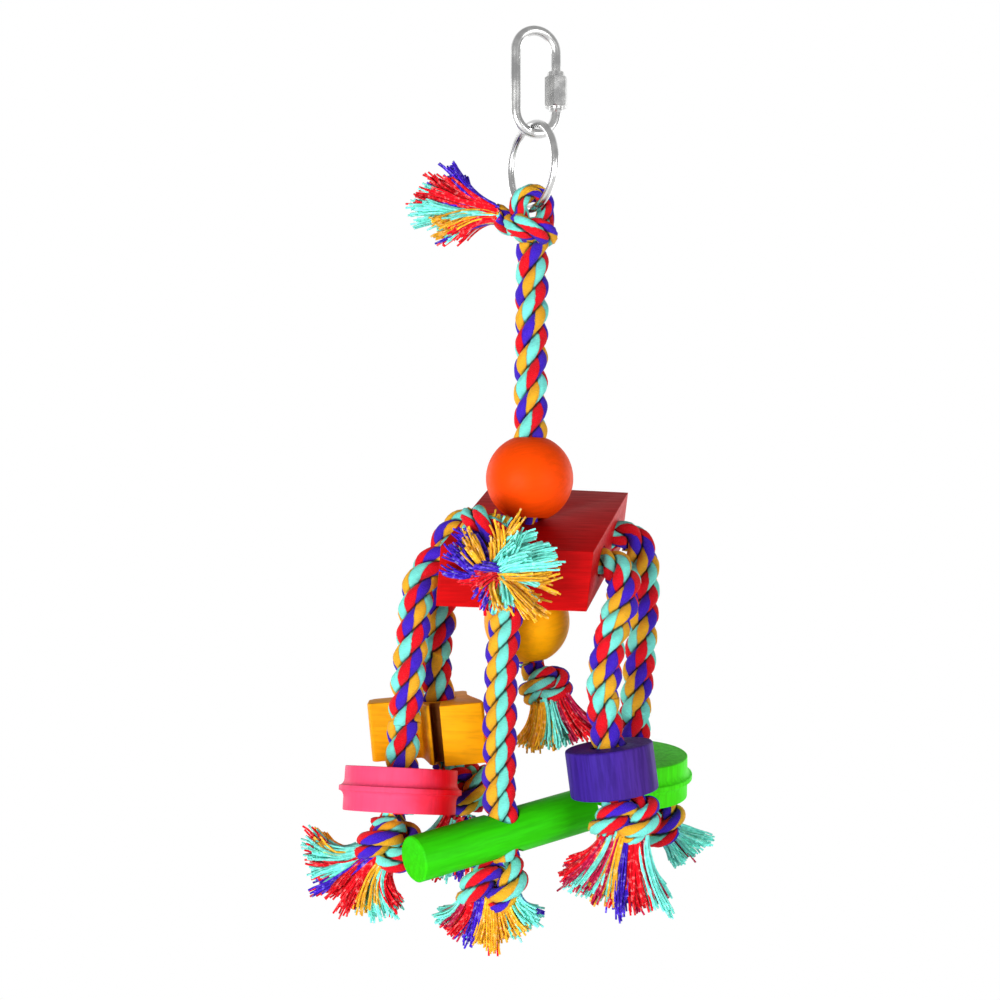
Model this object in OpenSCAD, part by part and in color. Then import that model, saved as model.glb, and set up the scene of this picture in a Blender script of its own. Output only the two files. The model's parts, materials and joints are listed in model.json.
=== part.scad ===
// Hanging bird toy: a screw link and a ring carry a knotted cotton rope,
// a bead, a slanted wooden block with five rope legs, and a second bead.
// The origin is the inside top of the link. X is right, Y is away, Z is up.

/* [Screw link] */
// thickness of the link's wire
link_wire = 2.8; // [2:0.1:4]
// width of the link between wire centres
link_w = 12.3; // [10:0.1:16]
// height of the link between wire centres
link_h = 29.4; // [24:0.1:40]
// turn of the link about the vertical
link_turn = 20; // [-45:1:45]
// width of the nut across its flats
nut_af = 6; // [5:0.1:8]
// length of the nut's six-sided part
nut_h = 8.9; // [6:0.1:12]
// length of rod that the nut leaves open when it is run up
mouth_h = 4.5; // [3:0.1:6]

/* [Ring] */
// outer diameter of the ring
ring_d = 26.3; // [20:0.1:40]
// thickness of the ring's wire
ring_wire = 2.2; // [1.5:0.1:4]
// turn of the ring about the vertical
ring_turn = -60; // [-90:1:90]

/* [Rope] */
// diameter of the rope where it hangs free
rope_d = 9.5; // [6:0.1:12]
// diameter of the rope where a hole squeezes it
tight_d = 8.4; // [5:0.1:11]
// diameter of the rope inside its knots
knot_rope_d = 7.6; // [4:0.1:9]
// size of the loops of a knot
knot_size = 2.55; // [2:0.05:4]
// height of a knot's loops against their width
knot_flat = 0.72; // [0.5:0.01:1]

/* [Red block] */
// width of the block, left to right
block_w = 42; // [30:0.5:60]
// depth of the block, front to back
block_d = 48; // [30:0.5:60]
// thickness of the block
block_h = 18; // [10:0.5:25]
// slant of the block's ends
block_slant = 21; // [0:1:35]
// diameter of the holes that the ropes pass through
block_bore_d = 9; // [6:0.1:12]

/* [Beads] */
// diameter of the two beads
bead_d = 24.8; // [18:0.1:35]
// diameter of the holes in beads, discs and dowel
bore_d = 10.2; // [8:0.1:13]

/* [Grooved discs] */
// diameter of a grooved disc without its ridge
groove_disc_d = 31.4; // [24:0.2:40]
// how far the middle ridge stands out
ridge_out = 1.7; // [0:0.1:3]
// height of a grooved disc
groove_disc_h = 12.2; // [8:0.1:18]

/* [Plain disc] */
// diameter of the plain disc
plain_disc_d = 24.6; // [18:0.2:36]
// height of the plain disc
plain_disc_h = 13.3; // [8:0.1:20]

/* [Notched block] */
// height of the notched block
notch_block_h = 17; // [10:0.5:24]

/* [Dowel] */
// diameter of the dowel
dowel_d = 12.5; // [8:0.1:20]
// length of the dowel
dowel_l = 59; // [40:1:90]

/* [Preview] */
// piece to show

/* [Hidden] */
$fn = 72;

metal = [0.78, 0.8, 0.82];
red = [0.86, 0.06, 0.12];
violet = [0.2, 0.1, 0.62];
gold = [0.93, 0.66, 0.16];
aqua = [0.5, 0.88, 0.86];

link_bend = link_w / 2;
link_top = link_wire / 2 - link_bend;
link_low = link_wire / 2 - link_h + link_bend;
nut_low = -20.2;
collar_h = 1.2;
rod_end = nut_low + 0.9 + mouth_h;

ring_r = (ring_d - ring_wire) / 2;
ring_at = [-1, 0, -37.43];
ring_low = ring_at - [0, 0, ring_r];

block_at = [0.3, 4, -146.1];
block_tip = [20.7, 5.5, 8];
main_hole = [-4.2, 0.4];
front_hole = [-4, -18];
side_holes = [-8.8, 9.8];

orange_at = [-1.9, -3.4, -126.6];
yellow_at = [-2.5, 7.2, -167.8];

pink_at = [-38, -12, -213.4];
pink_tip = [-10, 2.8, 0];
notched_at = [-27.3, 5, -198.5];
notched_tip = [2, -5.3, 0];
purple_at = [20.7, -13, -207.4];
purple_tip = [0, -7.5, 0];
green_at = [29.3, 16, -213.7];
green_tip = [7, 0, 0];
dowel_at = [-9.4, -13.5, -225.1];
dowel_tip = [0, -6.9, 35.1];

// rotation of a point by the angles that rotate() takes
function turned(p, a) = let(
    q = [p[0], p[1] * cos(a[0]) - p[2] * sin(a[0]), p[1] * sin(a[0]) + p[2] * cos(a[0])],
    r = [q[0] * cos(a[1]) + q[2] * sin(a[1]), q[1], q[2] * cos(a[1]) - q[0] * sin(a[1])])
    [r[0] * cos(a[2]) - r[1] * sin(a[2]), r[0] * sin(a[2]) + r[1] * cos(a[2]), r[2]];
// the block turns about Z first, then X, then Y
function in_block(u, v, w) = block_at + turned(turned([u + v * tan(block_slant), v, w],
    [0, 0, block_tip[2]]), [block_tip[0], block_tip[1], 0]);
// a point on a piece's own hole, h above its middle
function above(at, tip, h) = at + turned([0, 0, h], tip);

function unit(v) = v / norm(v);
// a smooth line through points that each hold x, y, z and a radius
function smooth(p, n) = [for (i = [0 : len(p) - 2], k = [0 : n - 1]) let(
    t = k / n, a = p[max(i - 1, 0)], b = p[i], c = p[i + 1], d = p[min(i + 2, len(p) - 1)])
    0.5 * (2 * b + (c - a) * t + (2 * a - 5 * b + 4 * c - d) * t * t
        + (3 * b - a - 3 * c + d) * t * t * t), p[len(p) - 1]];
function spot(q) = [q[0], q[1], q[2]];
function heading(q, i) = unit(spot(q[min(i + 1, len(q) - 1)]) - spot(q[max(i - 1, 0)]));
// sideways directions carried along the line without twist
function carried(q, i, u) = i >= len(q) ? [] : let(t = heading(q, i), w = unit(u - (u * t) * t))
    concat([w], carried(q, i + 1, w));
function other_way(v) = abs(v[2]) < 0.8 ? [0, 0, 1] : [0, 1, 0];

// a tube along a line of points
module tube(line, sides, steps) {
    q = smooth(line, steps);
    n = len(q);
    side = carried(q, 0, other_way(heading(q, 0)));
    pts = [for (i = [0 : n - 1], k = [0 : sides - 1]) let(
        u = side[i], v = cross(heading(q, i), u), a = 360 * k / sides)
        spot(q[i]) + q[i][3] * (cos(a) * u + sin(a) * v)];
    walls = [for (i = [0 : n - 2], k = [0 : sides - 1], h = [0, 1]) let(
        a = i * sides + k, b = i * sides + (k + 1) % sides)
        h == 0 ? [a, a + sides, b + sides] : [a, b + sides, b]];
    ends = [[for (k = [0 : sides - 1]) k], [for (k = [sides - 1 : -1 : 0]) (n - 1) * sides + k]];
    polyhedron(concat(pts), concat(walls, ends), convexity = 8);
}

// a frayed end: pleats that open from a narrow neck, with a ragged rim
module tassel(at, to, wide, pleats = 11) {
    n = 2 * pleats;
    way = unit(to - at);
    long = norm(to - at);
    u = unit(cross(way, abs(way[2]) < 0.8 ? [0, 0, 1] : [0, 1, 0]));
    v = cross(way, u);
    rings = [[-0.12, 0.3, 0], [0.15, 0.42, 0.1], [0.5, 0.72, 0.2], [0.9, 1, 0.3]];
    pts = [for (i = [0 : 3], k = [0 : n - 1]) let(
        a = 360 * k / n, fold = 1 + rings[i][2] * (k % 2 == 0 ? 0.35 : -0.75),
        rag = i < 3 ? 0 : 0.1 * sin(k * 137) + (k % 2 == 0 ? 0.06 : -0.1))
        at + way * long * (rings[i][0] + rag) + wide * rings[i][1] * fold * (cos(a) * u + sin(a) * v)];
    cap = at + way * long * 0.62;
    walls = [for (i = [0 : 2], k = [0 : n - 1], h = [0, 1]) let(
        a = i * n + k, b = i * n + (k + 1) % n) h == 0 ? [a, a + n, b + n] : [a, b + n, b]];
    top = [[for (k = [0 : n - 1]) k]];
    rim = [for (k = [0 : n - 1]) [3 * n + (k + 1) % n, 3 * n + k, 4 * n]];
    polyhedron(concat(pts, [cap]), concat(walls, rim, top), convexity = 8);
}

// one stretch of an overhand knot between two angles
function knot_line(tip, k, from, to, thick = 1) = [for (t = [from : (to - from) / 6 : to + 0.01]) let(
    p = k * knot_size * turned([sin(t) + 2 * sin(2 * t), -1.15 * sin(3 * t),
        knot_flat * (cos(t) - 2 * cos(2 * t))], tip))
    [p[0], p[1], p[2], thick * knot_rope_d / 2 * sqrt(k)]];

// an overhand knot with its frayed end, pressed to its height as a whole
module overhand(at, tip, entry, end, wide, tall, k = 1, roots = 3.4) translate(at) resize([0, 0, tall]) {
    way = unit(end - at);
    core = turned([-1, 1, 1], tip);
    color(violet) tube(knot_line(tip, k, 335, 432), 10, 2);
    color(gold) tube(knot_line(tip, k, 412, 540, 0.9), 10, 2);
    color(red) tube(knot_line(tip, k, 520, 618), 10, 2);
    color(violet) tube([for (p = [entry - at, (entry - at) * 0.5 + core * 0.5, core])
        [p[0], p[1], p[2], 3.1]], 9, 2);
    color(aqua) tassel(way * roots, end - at, wide);
}

function with_r(points, r) = [for (p = points) [p[0], p[1], p[2], r]];
free = rope_d / 2;
tight = tight_d / 2;

// hand set routes of the free legs, from the block to the wood on each leg
left_front_way = [[-26, -8, -149], [-30.5, -9.2, -152.2], [-33.3, -9.8, -158.5],
    [-34.3, -10.4, -168], [-35.7, -10.5, -180], above(pink_at, pink_tip, 19)];
left_back_way = [[-21, 11.5, -140], [-24.6, 11.5, -142.5], [-26.8, 10.5, -149],
    [-27, 8.5, -158], [-28, 5.4, -171], above(notched_at, notched_tip, 21)];
right_front_way = [[22, -3.5, -151.2], [24.5, -6.5, -155], [24, -9, -161],
    [21.5, -11, -168], [19.5, -12.5, -176], above(purple_at, purple_tip, 20)];
right_back_way = [[27.5, 17, -143.2], [31.2, 17, -147], [32.3, 17, -154],
    [32, 16.5, -165], [31, 15, -180], above(green_at, green_tip, 19)];
front_way = [[-8.5, -10.3, -165], [-9.4, -11, -173], [-10, -12.2, -183],
    [-10.3, -13.6, -194], [-10.4, -14.4, -204]];

module leg(v, side, way, at, tip, h) {
    start = in_block(0, v, 0);
    mouth = in_block(side * (block_w / 2 - 1), v, 0);
    tube(concat(with_r([start, (start + mouth) / 2, mouth], tight), with_r(way, free),
        with_r([above(at, tip, h / 2 + 12), above(at, tip, 0)], free),
        with_r([above(at, tip, -h / 2 - 0.5)], tight)), 12, 2);
}

module quick_link() color(metal) rotate([0, 0, link_turn]) {
    translate([0, 0, link_top]) rotate([90, 0, 0])
        rotate_extrude(angle = 180) translate([link_bend, 0]) circle(d = link_wire);
    translate([0, 0, link_low]) rotate([-90, 0, 0])
        rotate_extrude(angle = 180) translate([link_bend, 0]) circle(d = link_wire);
    translate([-link_bend, 0, link_low]) cylinder(d = link_wire, h = link_top - link_low);
    translate([link_bend, 0, rod_end]) cylinder(d = link_wire, h = link_top - rod_end);
    translate([link_bend, 0, link_low]) {
        cylinder(d = link_wire, h = nut_low + 0.9 - link_low);
        translate([0, 0, 0.3]) cylinder(d1 = link_wire, d2 = 3.9, h = 0.5);
        translate([0, 0, 0.8]) cylinder(d = 3.9, h = nut_low - link_low - 0.85);
    }
}

module link_nut() color(metal) rotate([0, 0, link_turn]) translate([link_bend, 0, nut_low])
    difference() {
        union() {
            intersection() {
                cylinder(d = nut_af / cos(30), h = nut_h, $fn = 6);
                rotate_extrude() polygon([[0, 0], [nut_af / 2 - 0.1, 0],
                    [nut_af / 2 + 0.45, 0.5], [nut_af / 2 + 0.45, nut_h - 0.5],
                    [nut_af / 2 - 0.1, nut_h], [0, nut_h]]);
            }
            translate([0, 0, nut_h - 0.01]) cylinder(d = 4.9, h = collar_h);
        }
        translate([0, 0, -1]) cylinder(d = link_wire + 0.12, h = nut_h + collar_h + 2);
    }

module ring() color(metal) translate(ring_at) rotate([0, 0, ring_turn]) rotate([90, 0, 0])
    rotate_extrude() translate([ring_r, 0]) circle(d = ring_wire);

module main_rope() color(red) tube(concat(
    with_r([[-0.9, 0, -60], [-1, -0.2, -64]], free),
    with_r([[-1.3, -1.3, -85], [-1.6, -2.4, -106]], free),
    with_r([[-1.9, -3.3, -124]], free), with_r([[-1.9, -3.6, -131]], 3.8), with_r([[-2, -3.2, -136]], 3.2),
    with_r([[-2.4, -2.2, -139.5]], 2.8), with_r([in_block(-4.2, 0.4, 1), in_block(-4.2, 0.4, -6)], tight),
    with_r([[-4, 7.3, -157], yellow_at, yellow_at - [-0.9, 0, 12]], tight)), 12, 2);

// the rope climbs on one side of the ring's wire, arches over it and wraps its own neck
module ring_knot() {
    e = [cos(ring_turn + 90), sin(ring_turn + 90), 0];
    arch = [for (a = [-20 : 25 : 205]) ring_low + 4.6 * (cos(a) * e + [0, 0, sin(a)])];
    color(gold) tube(concat(with_r([[-0.9, 0, -60.2], [0.8, 1, -56.5]], 4),
        with_r(arch, 2.8), with_r([ring_low - 5 * e - [0, 0, 6]], 3.4)), 10, 2);
    color(violet) tube(with_r([[-6.5, -1, -54], [-4, -5.4, -55.5], [1, -4.4, -56.6],
        [3, 0.6, -56.8], [0.5, 5.2, -56]], 3.5), 10, 2);
    color(red) tube(with_r([[1, 5, -56], [-4, 5.5, -54.8], [-8, 3, -53], [-12, 0.5, -51]], 3.5), 10, 2);
    color(aqua) tassel([-12, 0.5, -51], [-37, -1, -46.5], 10);
}

module main_knot() overhand([2.5, 7, -186.5], [1, 1, 21], yellow_at - [-0.9, 0, 12],
    [6.5, 6.5, -203], 9, 27.6, 0.76);

module bead(at, tip) translate(at) rotate(tip) difference() {
    sphere(d = bead_d);
    cylinder(d = bore_d, h = bead_d, center = true);
}
module orange_bead() color([0.95, 0.24, 0.02]) bead(orange_at, [-2.9, 0.9, 0]);
module yellow_bead() color([0.93, 0.65, 0.05]) bead(yellow_at, [0, -4, 0]);

module red_block() color([0.8, 0.05, 0.05]) translate(block_at)
    rotate([0, block_tip[1], 0]) rotate([block_tip[0], 0, 0]) rotate([0, 0, block_tip[2]]) {
    lean = block_d / 2 * tan(block_slant);
    difference() {
        translate([0, 0, -block_h / 2]) linear_extrude(block_h) polygon([
            [-block_w / 2 - lean, -block_d / 2], [block_w / 2 - lean, -block_d / 2],
            [block_w / 2 + lean, block_d / 2], [-block_w / 2 + lean, block_d / 2]]);
        for (h = [main_hole, front_hole])
            translate([h[0] + h[1] * tan(block_slant), h[1], -block_h])
                cylinder(d = block_bore_d, h = 2 * block_h);
        for (v = side_holes)
            translate([0, v, 0]) rotate([0, 90, 0])
                cylinder(d = block_bore_d, h = 3 * block_w, center = true);
    }
}

module left_front_rope() color(violet) leg(side_holes[0], -1, left_front_way, pink_at, pink_tip,
    groove_disc_h);
module left_back_rope() color(gold) leg(side_holes[1], -1, left_back_way, notched_at,
    notched_tip, notch_block_h);
module right_front_rope() color(gold) leg(side_holes[0], 1, right_front_way, purple_at,
    purple_tip, plain_disc_h);
module right_back_rope() color(violet) leg(side_holes[1], 1, right_back_way, green_at,
    green_tip, groove_disc_h);
module front_rope() color(aqua) tube(concat(
    with_r([in_block(-4, -18, 10), in_block(-4, -18, 0), in_block(-4, -18, -9)], tight),
    with_r(front_way, free),
    with_r([above(dowel_at, dowel_tip, 11), above(dowel_at, dowel_tip, 0)], free),
    with_r([above(dowel_at, dowel_tip, -7)], tight)), 12, 2);

module left_front_knot() overhand([-41.5, -12.5, -228.3], [2, 3, 12],
    above(pink_at, pink_tip, -7), [-54, -13, -246], 16, 36.4);
module left_back_knot() overhand([-20, 7.5, -216.5], [3, -3, -25],
    above(notched_at, notched_tip, -9.5), [-28, 9, -243], 9, 39.2);
module right_front_knot() overhand([24, -13, -222.2], [-2, -4, 3],
    above(purple_at, purple_tip, -7.5), [25, -14, -246], 16, 34.5);
module right_back_knot() overhand([34.5, 17, -228.2], [1, 1, 31],
    above(green_at, green_tip, -7), [44, 18, -243], 9, 28.5);
module dowel_knot() overhand([-12.5, -13, -239.3], [5, -1, 2],
    above(dowel_at, dowel_tip, -7.5), [-13.5, -13, -257], 15, 27.7);
module front_top_knot() overhand([-13.5, -22.3, -143], [21, 71, 1],
    in_block(-4, -18, 10), [-3.5, -32, -149], 14, 28.3);

module grooved_disc(at, tip) translate(at) rotate(tip) difference() {
    r = groove_disc_d / 2;
    h = groove_disc_h / 2;
    rotate_extrude() polygon(concat(
        [[0, -h], [r - 0.2, -h], [r, -h + 0.2], [r, -3.2]],
        [for (a = [0 : 15 : 90]) [r + ridge_out * (1 - cos(a)) - 0.3 * sin(a), -3.2 + 2.5 * sin(a)]],
        [for (a = [90 : -15 : 0]) [r + ridge_out * (1 - cos(a)) - 0.3 * sin(a), 3.2 - 2.5 * sin(a)]],
        [[r, 3.2], [r, h - 0.2], [r - 0.2, h], [0, h]]));
    cylinder(d = bore_d, h = 4 * h, center = true);
}
module pink_disc() color([0.95, 0.2, 0.35]) grooved_disc(pink_at, pink_tip);
module green_disc() color([0.2, 0.72, 0.05]) grooved_disc(green_at, green_tip);

module purple_disc() color([0.25, 0.12, 0.55]) translate(purple_at) rotate(purple_tip)
    difference() {
        rotate_extrude() polygon([[0, -plain_disc_h / 2],
            [plain_disc_d / 2 - 0.4, -plain_disc_h / 2], [plain_disc_d / 2, 0.4 - plain_disc_h / 2],
            [plain_disc_d / 2, plain_disc_h / 2 - 0.4], [plain_disc_d / 2 - 0.4, plain_disc_h / 2],
            [0, plain_disc_h / 2]]);
        cylinder(d = bore_d, h = 2 * plain_disc_h, center = true);
    }

module notched_block() color([0.95, 0.66, 0.02]) translate(notched_at) rotate(notched_tip)
    difference() {
        translate([0, 0, -notch_block_h / 2]) linear_extrude(notch_block_h) polygon([
            [-20.9, 3], [-19.9, 1.6], [-6.8, 1.6], [-5.9, 0], [-4.6, -5.6], [-3.6, -10.2],
            [-3, -11.2], [-2.1, -11.2], [-2, -7], [0.6, -7], [0.8, -14.4], [12.4, -14.4],
            [13.2, -13.6], [12.6, -9.5], [8.4, 3], [8, 10], [7, 11], [-19.4, 11], [-20.9, 9.6]]);
        cylinder(d = bore_d, h = 2 * notch_block_h, center = true);
    }

module green_dowel() color([0.18, 0.72, 0.05]) translate(dowel_at) rotate(dowel_tip)
    difference() {
        rotate([0, 90, 0]) rotate_extrude() polygon([[0, -dowel_l / 2],
            [dowel_d / 2 - 0.4, -dowel_l / 2], [dowel_d / 2, 0.4 - dowel_l / 2],
            [dowel_d / 2, dowel_l / 2 - 0.4], [dowel_d / 2 - 0.4, dowel_l / 2], [0, dowel_l / 2]]);
        cylinder(d = bore_d, h = 2 * dowel_d, center = true);
    }

quick_link();
link_nut();
ring();
main_rope();
ring_knot();
main_knot();
orange_bead();
red_block();
yellow_bead();
left_front_rope();
left_back_rope();
right_front_rope();
right_back_rope();
front_rope();
left_front_knot();
left_back_knot();
right_front_knot();
right_back_knot();
dowel_knot();
front_top_knot();
pink_disc();
notched_block();
purple_disc();
green_disc();
green_dowel();
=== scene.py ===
"""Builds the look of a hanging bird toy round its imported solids.

It has laid rope, knots, frayed ends, dyed wood and plated metal.
"""

import json
import math

import bmesh
import bpy
import numpy as np
from mathutils import Euler, Matrix, Vector

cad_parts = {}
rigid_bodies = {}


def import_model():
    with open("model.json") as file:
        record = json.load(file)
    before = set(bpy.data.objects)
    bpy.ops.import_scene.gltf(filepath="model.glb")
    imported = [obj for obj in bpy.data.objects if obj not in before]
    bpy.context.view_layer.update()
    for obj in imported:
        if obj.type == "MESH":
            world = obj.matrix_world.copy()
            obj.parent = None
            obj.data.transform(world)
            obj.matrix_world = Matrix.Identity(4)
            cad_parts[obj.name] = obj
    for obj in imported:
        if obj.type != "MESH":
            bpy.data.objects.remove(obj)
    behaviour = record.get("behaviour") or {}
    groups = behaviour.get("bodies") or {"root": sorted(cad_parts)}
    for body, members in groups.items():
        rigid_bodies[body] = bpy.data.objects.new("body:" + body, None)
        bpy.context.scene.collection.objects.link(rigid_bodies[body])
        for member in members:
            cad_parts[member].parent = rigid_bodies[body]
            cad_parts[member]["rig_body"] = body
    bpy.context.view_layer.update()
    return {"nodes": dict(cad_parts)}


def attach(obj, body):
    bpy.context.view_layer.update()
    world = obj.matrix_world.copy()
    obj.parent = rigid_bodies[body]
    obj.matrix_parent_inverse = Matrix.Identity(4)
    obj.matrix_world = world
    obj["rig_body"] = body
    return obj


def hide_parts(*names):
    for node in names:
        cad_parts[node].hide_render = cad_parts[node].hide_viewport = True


bl_info = {
    "name": "Hanging rope and wood toy",
    "version": (1, 0, 0),
    "blender": (4, 5, 0),
    "location": "3D View > Sidebar > Rope toy",
    "description": "Dresses the toy's solids with rope, knots, frayed yarn, dyed wood and plated metal",
    "category": "Object",
}

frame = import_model()
MM = 0.001

# dye colours of the four yarns in the order in which they lie in each strand, and a fifth, a darkened red that paints
# shade on loose red yarn
VIOLET, GOLD, AQUA, RED, SHADED_RED = range(5)


def dye_property(name, description, default):
    """A colour that a user can change"""
    return bpy.props.FloatVectorProperty(name=name, description=description, default=default, size=3,
                                         min=0, max=1, subtype="COLOR")


def length_property(name, description, default, least, most):
    """A size that a user can change"""
    return bpy.props.FloatProperty(name=name, description=description, default=default, min=least, max=most,
                                   subtype="DISTANCE", unit="LENGTH")


class RopeLook(bpy.types.PropertyGroup):
    """Sizes and dyes of the laid rope"""

    radius: length_property("Rope radius", "Radius of the rope where it hangs free",
        4.75 * MM, 2 * MM, 8 * MM)
    lay: length_property("Lay", "Length of rope in which a strand goes once round",
        20.6 * MM, 12 * MM, 60 * MM)
    strands: bpy.props.IntProperty(
        name="Strands", description="Strands laid up in the rope", default=3, min=2, max=3)
    violet: dye_property("Violet yarn", "Dye of the violet yarn", (0.06, 0.014, 0.62))
    gold: dye_property("Gold yarn", "Dye of the gold yarn", (0.96, 0.47, 0.02))
    aqua: dye_property("Aqua yarn", "Dye of the aqua yarn", (0.22, 0.92, 0.8))
    red: dye_property("Red yarn", "Dye of the red yarn", (0.9, 0.002, 0.014))


class FrayLook(bpy.types.PropertyGroup):
    """Sizes of the frayed rope ends"""

    yarn_radius: length_property("Yarn radius", "Radius of one loose yarn",
        0.3 * MM, 0.1 * MM, 1 * MM)
    yarns: bpy.props.IntProperty(
        name="Yarns in a lock", description="Loose yarns in each lock of one colour",
        default=12, min=3, max=20)
    opening: length_property("Opening", "How far the yarns of a lock spread at their tips",
        1.5 * MM, 0.2 * MM, 5 * MM)


class WoodLook(bpy.types.PropertyGroup):
    """Dyes and finish of the wooden pieces"""

    orange: dye_property("Orange dye", "Dye of the upper bead", (0.93, 0.068, 0.001))
    yellow: dye_property("Yellow dye", "Dye of the lower bead and the notched block", (0.89, 0.365, 0.001))
    red: dye_property("Red dye", "Dye of the slanted block", (0.57, 0.003, 0.004))
    pink: dye_property("Pink dye", "Dye of the left grooved disc", (0.84, 0.07, 0.17))
    scarlet: dye_property(
        "Scarlet dye", "Dye into which the pink disc runs at its right", (0.76, 0.003, 0.009))
    purple: dye_property("Purple dye", "Dye of the plain disc", (0.043, 0.015, 0.265))
    mauve: dye_property("Mauve dye", "Dye into which the purple disc runs at its right", (0.07, 0.024, 0.24))
    green: dye_property("Green dye", "Dye of the dowel", (0.033, 0.62, 0.003))
    lime: dye_property("Lime dye", "Dye of the right grooved disc", (0.08, 0.95, 0.01))
    edge: length_property("Edge rounding", "Width of the sanded edges",
        0.45 * MM, 0.1 * MM, 2 * MM)


class MetalLook(bpy.types.PropertyGroup):
    """Finish of the link, its nut and the ring"""

    roughness: bpy.props.FloatProperty(
        name="Roughness", description="How dull the nickel plating is", default=0.22,
        min=0.02, max=1, subtype="FACTOR")


class StageLook(bpy.types.PropertyGroup):
    """Light and camera of the plain studio"""

    key_power: bpy.props.FloatProperty(
        name="Key light", description="Power of the large lamp at the left", default=10.3,
        min=0, max=100, unit="POWER")
    fill_power: bpy.props.FloatProperty(
        name="Fill light", description="Power of the lamp at the right", default=4.6,
        min=0, max=100, unit="POWER")
    rear_power: bpy.props.FloatProperty(
        name="Rear lights", description="Power of each of the two lamps behind", default=2.2,
        min=0, max=100, unit="POWER")
    ambient: bpy.props.FloatProperty(
        name="Ambient light", description="Strength of the white light from all sides", default=0.12,
        min=0, max=2)
    mirrored: bpy.props.FloatProperty(
        name="Mirrored light", description="How bright the room looks in the metal", default=0.5,
        min=0, max=1)
    lens: bpy.props.FloatProperty(
        name="Lens", description="Focal length of the camera in millimetres", default=57.6,
        min=20, max=200)


# ropes and tubes are worked out as rows of points in millimetres
def turned(p, tip):
    """The point p turned by three angles in degrees, about X, then Y, then Z."""
    turn = Euler([math.radians(a) for a in tip], "XYZ").to_matrix()
    return np.array(turn @ Vector(p))


BLOCK_AT = np.array((0.3, 4.0, -146.1))
BLOCK_TURN = (Matrix.Rotation(math.radians(5.5), 3, "Y") @ Matrix.Rotation(math.radians(20.7), 3, "X")
              @ Matrix.Rotation(math.radians(8.0), 3, "Z"))
SLANT = math.tan(math.radians(21))


def in_block(u, v, w):
    """A point of the slanted block, from its own width, depth and height."""
    return BLOCK_AT + np.array(BLOCK_TURN @ Vector((u + v * SLANT, v, w)))


def above(piece, h):
    """A point on the hole of a wooden piece, h above its middle."""
    at, tip = piece
    return np.array(at) + turned((0, 0, h), tip)


PINK = ((-38, -12, -213.4), (-10, 2.8, 0))
NOTCHED = ((-27.3, 5, -198.5), (2, -5.3, 0))
PURPLE = ((20.7, -13, -207.4), (0, -7.5, 0))
GREEN = ((29.3, 16, -213.7), (7, 0, 0))
DOWEL = ((-9.4, -13.5, -225.1), (0, -6.9, 35.1))
YELLOW_AT = np.array((-2.5, 7.2, -167.8))


def smooth_line(points, steps):
    """A smooth line of rows of numbers through the given rows."""
    p = [np.asarray(q, float) for q in points]
    out = []
    for i in range(len(p) - 1):
        a, b, c, d = p[max(i - 1, 0)], p[i], p[i + 1], p[min(i + 2, len(p) - 1)]
        for k in range(steps):
            t = k / steps
            out.append(0.5 * (2 * b + (c - a) * t + (2 * a - 5 * b + 4 * c - d) * t ** 2
                              + (3 * b - a - 3 * c + d) * t ** 3))
    return np.array(out + [p[-1]])


def lengths_along(line):
    """How far along the line each of its points lies."""
    gaps = np.linalg.norm(np.diff(line[:, :3], axis=0), axis=1)
    return np.concatenate([[0], np.cumsum(gaps)])


def even_line(line, gap):
    """The line again, with its points a constant gap apart."""
    along = lengths_along(line)
    count = max(3, int(round(along[-1] / gap)) + 1)
    want = np.linspace(0, along[-1], count)
    return np.stack([np.interp(want, along, line[:, k]) for k in range(line.shape[1])], 1)


def softened(line, rounds):
    """The line with its small corners rubbed away and its ends kept."""
    line = line.copy()
    for _ in range(rounds):
        line[1:-1] = line[1:-1] * 0.5 + (line[:-2] + line[2:]) * 0.25
    return line


def carried_frames(line):
    """The direction of a line at each point, with two sideways directions that don't twist."""
    ahead = np.gradient(line[:, :3], axis=0)
    ahead /= np.linalg.norm(ahead, axis=1)[:, None]
    side = np.cross(ahead[0], (0, 0, 1) if abs(ahead[0][2]) < 0.8 else (0, 1, 0))
    sides = []
    for t in ahead:
        side = side - t * np.dot(side, t)
        side /= np.linalg.norm(side)
        sides.append(side)
    sides = np.array(sides)
    return ahead, sides, np.cross(ahead, sides)


class Wire:
    """A socket of a material, which can be added, multiplied and so on with numbers and others."""

    def __init__(self, finish, socket):
        self.finish, self.socket = finish, socket

    def sum_with(self, operation, *values):
        """One Math node on these values."""
        return self.finish.node("ShaderNodeMath", {"operation": operation}, dict(enumerate(values)))

    def __add__(self, other):
        return self.sum_with("ADD", self, other)

    def __radd__(self, other):
        return self.sum_with("ADD", other, self)

    def __sub__(self, other):
        return self.sum_with("SUBTRACT", self, other)

    def __rsub__(self, other):
        return self.sum_with("SUBTRACT", other, self)

    def __mul__(self, other):
        return self.sum_with("MULTIPLY", self, other)

    def __rmul__(self, other):
        return self.sum_with("MULTIPLY", other, self)

    def __truediv__(self, other):
        return self.sum_with("DIVIDE", self, other)

    def fraction(self):
        return self.sum_with("FRACT", self)

    def least(self, other):
        return self.sum_with("MINIMUM", self, other)

    def stepped(self, low, high, to_low=0.0, to_high=1.0):
        """The value eased from one range to another, held at the ends."""
        return self.finish.node("ShaderNodeMapRange", {"interpolation_type": "SMOOTHSTEP", "clamp": True},
                                {0: self, 1: low, 2: high, 3: to_low, 4: to_high})


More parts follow.
